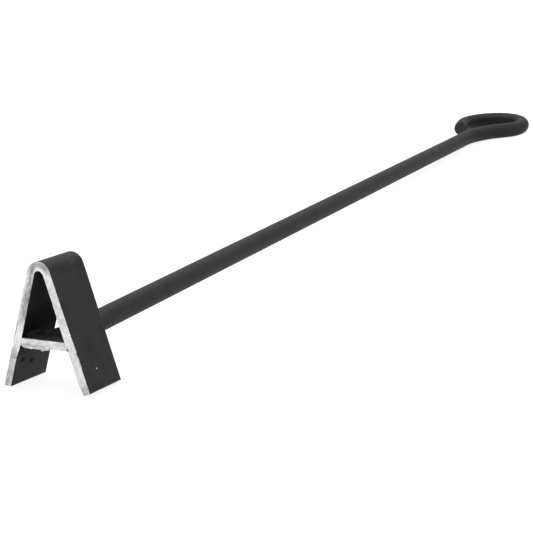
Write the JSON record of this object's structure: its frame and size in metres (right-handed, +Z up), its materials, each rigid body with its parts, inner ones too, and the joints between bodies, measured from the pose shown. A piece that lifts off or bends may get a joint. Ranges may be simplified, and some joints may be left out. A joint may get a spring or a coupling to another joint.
{
  "type": "hot branding iron",
  "caption": "Welded steel branding iron: a flat bar bent into a capital letter A with a crossbar, on a long round-bar handle that ends in an open hanging eye.",
  "frame": {"origin": "centre of the bounding box at its base, on the surface that the iron lies on, touching at both feet and under the eye", "axes": "+Y from the branding face along the handle to the eye, +Z up, +X to the letter's right as its branding face is looked at"},
  "size_m": [0.0764, 0.8192, 0.0796],
  "materials": {
    "black_paint": "satin",
    "painted_weld": "satin"
  },
  "bodies": {
    "root": {"head_bow": "black_paint", "crossbar": "black_paint", "handle_rod": "black_paint", "weld_left_leg_upper": "painted_weld", "weld_left_leg_lower": "painted_weld", "weld_right_leg_upper": "painted_weld", "weld_right_leg_lower": "painted_weld", "weld_handle_upper": "painted_weld", "weld_handle_lower": "painted_weld", "weld_under_run": "painted_weld"}
  },
  "joints": []
}
